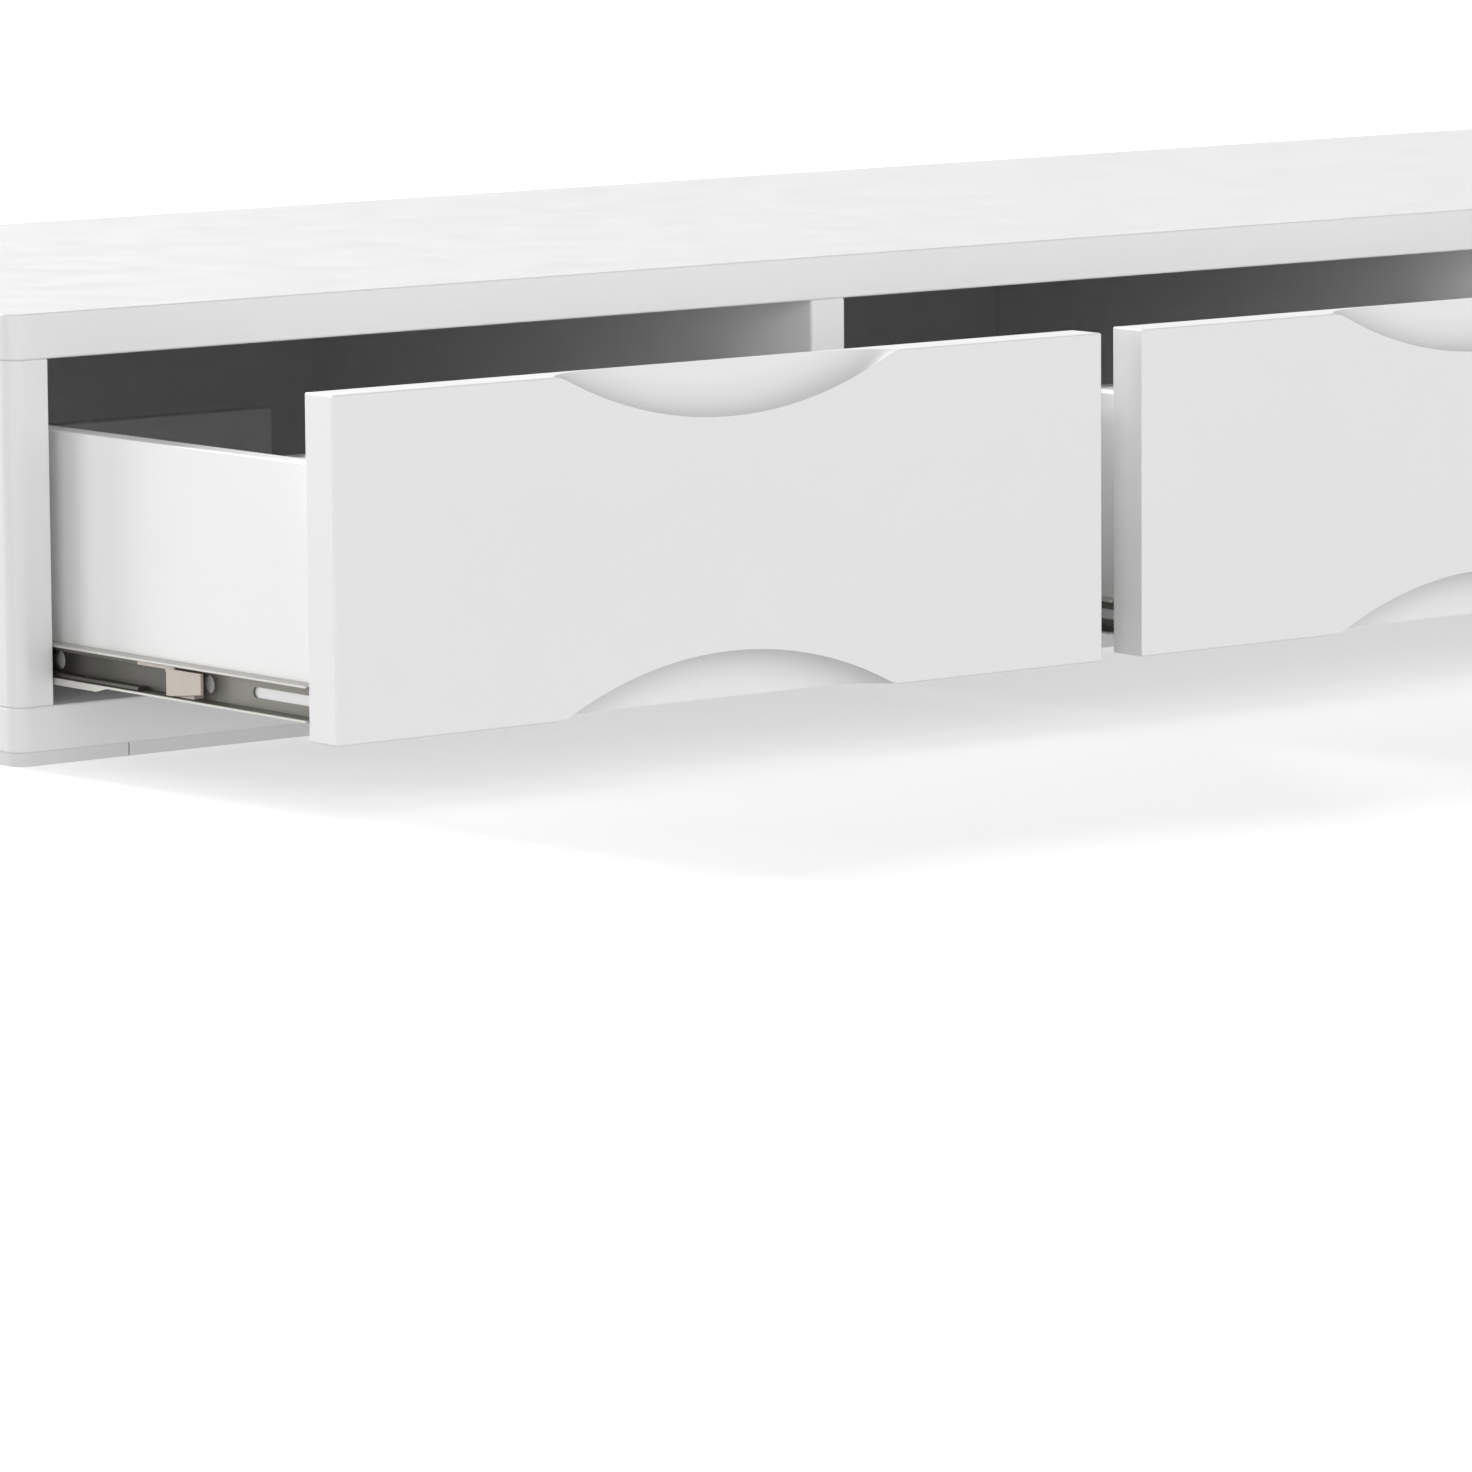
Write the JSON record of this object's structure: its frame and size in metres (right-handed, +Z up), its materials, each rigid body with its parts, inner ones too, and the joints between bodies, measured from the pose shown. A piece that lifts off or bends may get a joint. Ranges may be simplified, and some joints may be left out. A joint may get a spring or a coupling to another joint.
{
  "type": "under-desk drawer unit",
  "caption": "Flat white lacquered case under a desk top, with inset drawers that run out on ball-bearing slides and have wavy finger scoops in their front edges.",
  "frame": {"origin": "centre of the rectangle of threaded inserts, which is the centre of the case's footprint, on the underside of the spacers", "axes": "+X along the case's width, to the right of a person facing the drawers; the drawer fronts face -Y and the drawers run out along -Y; +Z up"},
  "size_m": [1.489, 0.697, 0.2165],
  "materials": {
    "case_lacquer": "satin white lacquer",
    "spacer_board": "pale grey painted board",
    "front_lacquer": "satin white lacquer",
    "box_lacquer": "smooth white lacquer",
    "thin_panel": "white faced hardboard",
    "slide_steel": "zinc plated",
    "cage_steel": "zinc plated",
    "ball_steel": "polished",
    "stop_plastic": "moulded",
    "screw_steel": "zinc plated",
    "cam_zinc": "die cast zinc",
    "insert_brass": "machined",
    "dowel_wood": "plain beech"
  },
  "bodies": {
    "case": {"back_panel": "thin_panel", "bottom_panel": "case_lacquer", "case_dowels": "dowel_wood", "case_screws": "screw_steel", "front_spacer_strip": "spacer_board", "left_divider": "case_lacquer", "left_end_panel": "case_lacquer", "left_end_spacer": "spacer_board", "left_slide_cabinet_members": "slide_steel", "left_slide_case_screws": "screw_steel", "middle_slide_cabinet_members": "slide_steel", "middle_slide_case_screws": "screw_steel", "rear_rails": "case_lacquer", "rear_spacer_strip": "spacer_board", "right_divider": "case_lacquer", "right_end_panel": "case_lacquer", "right_end_spacer": "spacer_board", "right_slide_cabinet_members": "slide_steel", "right_slide_case_screws": "screw_steel", "threaded_inserts": "insert_brass", "top_panel": "case_lacquer"},
    "left_drawer": {"left_drawer_back": "box_lacquer", "left_drawer_back_screws": "screw_steel", "left_drawer_bottom": "thin_panel", "left_drawer_cam_bolts": "cam_zinc", "left_drawer_cam_locks": "cam_zinc", "left_drawer_front": "front_lacquer", "left_drawer_left_side": "box_lacquer", "left_drawer_right_side": "box_lacquer", "left_slide_drawer_members": "slide_steel", "left_slide_drawer_screws": "screw_steel"},
    "left_slide_cage_pair": {"left_slide_cages": "cage_steel", "left_slide_cage_stops": "stop_plastic", "left_slide_balls": "ball_steel"},
    "middle_drawer": {"middle_drawer_back": "box_lacquer", "middle_drawer_back_screws": "screw_steel", "middle_drawer_bottom": "thin_panel", "middle_drawer_cam_bolts": "cam_zinc", "middle_drawer_cam_locks": "cam_zinc", "middle_drawer_front": "front_lacquer", "middle_drawer_left_side": "box_lacquer", "middle_drawer_right_side": "box_lacquer", "middle_slide_drawer_members": "slide_steel", "middle_slide_drawer_screws": "screw_steel"},
    "middle_slide_cage_pair": {"middle_slide_cages": "cage_steel", "middle_slide_cage_stops": "stop_plastic", "middle_slide_balls": "ball_steel"},
    "right_drawer": {"right_drawer_back": "box_lacquer", "right_drawer_back_screws": "screw_steel", "right_drawer_bottom": "thin_panel", "right_drawer_cam_bolts": "cam_zinc", "right_drawer_cam_locks": "cam_zinc", "right_drawer_front": "front_lacquer", "right_drawer_left_side": "box_lacquer", "right_drawer_right_side": "box_lacquer", "right_slide_drawer_members": "slide_steel", "right_slide_drawer_screws": "screw_steel"},
    "right_slide_cage_pair": {"right_slide_cages": "cage_steel", "right_slide_cage_stops": "stop_plastic", "right_slide_balls": "ball_steel"}
  },
  "joints": [
    {"name": "left_drawer_slide", "type": "slide", "parent": "case", "child": "left_drawer", "axis": [0, -1, 0], "range_m": [-0.227, 0]},
    {"name": "left_cage_roll", "type": "slide", "parent": "case", "child": "left_slide_cage_pair", "axis": [0, -1, 0], "range_m": [-0.14188, 0]},
    {"name": "middle_drawer_slide", "type": "slide", "parent": "case", "child": "middle_drawer", "axis": [0, -1, 0], "range_m": [-0.227, 0]},
    {"name": "middle_cage_roll", "type": "slide", "parent": "case", "child": "middle_slide_cage_pair", "axis": [0, -1, 0], "range_m": [-0.14188, 0]},
    {"name": "right_drawer_slide", "type": "slide", "parent": "case", "child": "right_drawer", "axis": [0, -1, 0], "range_m": [-0.227, 0]},
    {"name": "right_cage_roll", "type": "slide", "parent": "case", "child": "right_slide_cage_pair", "axis": [0, -1, 0], "range_m": [-0.14188, 0]}
  ],
  "couplings": [
    {"joint": "left_cage_roll", "follows": "left_drawer_slide", "ratio": 0.625},
    {"joint": "middle_cage_roll", "follows": "middle_drawer_slide", "ratio": 0.625},
    {"joint": "right_cage_roll", "follows": "right_drawer_slide", "ratio": 0.625}
  ]
}
